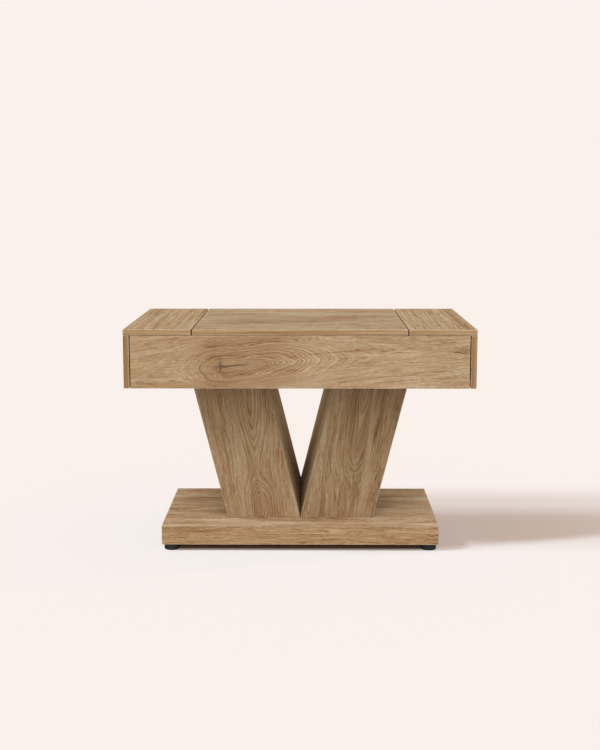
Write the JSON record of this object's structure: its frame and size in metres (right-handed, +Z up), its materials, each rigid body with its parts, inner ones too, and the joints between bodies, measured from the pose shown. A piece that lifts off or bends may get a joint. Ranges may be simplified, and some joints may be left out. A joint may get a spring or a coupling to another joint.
{
  "type": "lift-top coffee table",
  "caption": "Board coffee table whose centre lid lifts up and forward on spring-assisted arms over a storage well, on a hollow V pedestal with a thick base and round feet.",
  "frame": {"origin": "on the floor, under the middle of the table", "axes": "+X to the right of someone facing the front, +Y to the back, +Z up"},
  "size_m": [0.9, 0.55, 0.6],
  "materials": {
    "oak_board": "satin oak-grain foil on board",
    "leg_board": "satin oak-grain foil on board",
    "raw_board": "bare board",
    "foot_plastic": "satin black",
    "lift_steel": "black powder coat",
    "zinc_steel": "zinc plated"
  },
  "bodies": {
    "frame": {"left_side_panel": "oak_board", "right_side_panel": "oak_board", "front_panel": "oak_board", "back_panel": "oak_board", "bottom_panel": "oak_board", "left_divider": "oak_board", "right_divider": "oak_board", "left_top_panel": "oak_board", "right_top_panel": "oak_board", "left_leg_front_board": "leg_board", "left_leg_back_board": "leg_board", "left_leg_inner_board": "leg_board", "left_leg_outer_board": "leg_board", "right_leg_front_board": "leg_board", "right_leg_back_board": "leg_board", "right_leg_inner_board": "leg_board", "right_leg_outer_board": "leg_board", "left_leg_top_block": "raw_board", "left_leg_bottom_block": "raw_board", "right_leg_top_block": "raw_board", "right_leg_bottom_block": "raw_board", "left_leg_top_front_bolt": "zinc_steel", "left_leg_top_back_bolt": "zinc_steel", "left_leg_bottom_front_bolt": "zinc_steel", "left_leg_bottom_back_bolt": "zinc_steel", "right_leg_top_front_bolt": "zinc_steel", "right_leg_top_back_bolt": "zinc_steel", "right_leg_bottom_front_bolt": "zinc_steel", "right_leg_bottom_back_bolt": "zinc_steel", "base_top_board": "oak_board", "base_front_rail": "oak_board", "base_back_rail": "oak_board", "base_left_rail": "oak_board", "base_right_rail": "oak_board", "base_bottom_board": "raw_board", "front_left_foot": "foot_plastic", "front_right_foot": "foot_plastic", "back_left_foot": "foot_plastic", "back_right_foot": "foot_plastic", "left_base_rail": "lift_steel", "right_base_rail": "lift_steel", "left_front_lower_pin": "zinc_steel", "left_rear_lower_pin": "zinc_steel", "right_front_lower_pin": "zinc_steel", "right_rear_lower_pin": "zinc_steel", "left_lift_spring": "zinc_steel", "right_lift_spring": "zinc_steel"},
    "front_arms": {"left_front_arm": "lift_steel", "right_front_arm": "lift_steel"},
    "rear_arms": {"left_rear_arm": "lift_steel", "right_rear_arm": "lift_steel"},
    "lid": {"lid_panel": "oak_board", "left_lid_rail": "lift_steel", "right_lid_rail": "lift_steel", "left_front_upper_pin": "zinc_steel", "left_rear_upper_pin": "zinc_steel", "right_front_upper_pin": "zinc_steel", "right_rear_upper_pin": "zinc_steel"}
  },
  "joints": [
    {"name": "lift", "type": "hinge", "parent": "frame", "child": "front_arms", "pos_m": [0, -0.12962, 0.53223], "axis": [1, 0, 0], "range_deg": [0, 115], "deforming": ["left_lift_spring", "right_lift_spring"]},
    {"name": "rear_arm_pivot", "type": "hinge", "parent": "frame", "child": "rear_arms", "pos_m": [0, 0.00038, 0.53223], "axis": [1, 0, 0], "range_deg": [0, 115]},
    {"name": "lid_pivot", "type": "hinge", "parent": "front_arms", "child": "lid", "pos_m": [0, 0.068, 0.563], "axis": [1, 0, 0], "range_deg": [-115, 0]}
  ],
  "couplings": [
    {"joint": "rear_arm_pivot", "follows": "lift", "ratio": 1},
    {"joint": "lid_pivot", "follows": "lift", "ratio": -1}
  ]
}
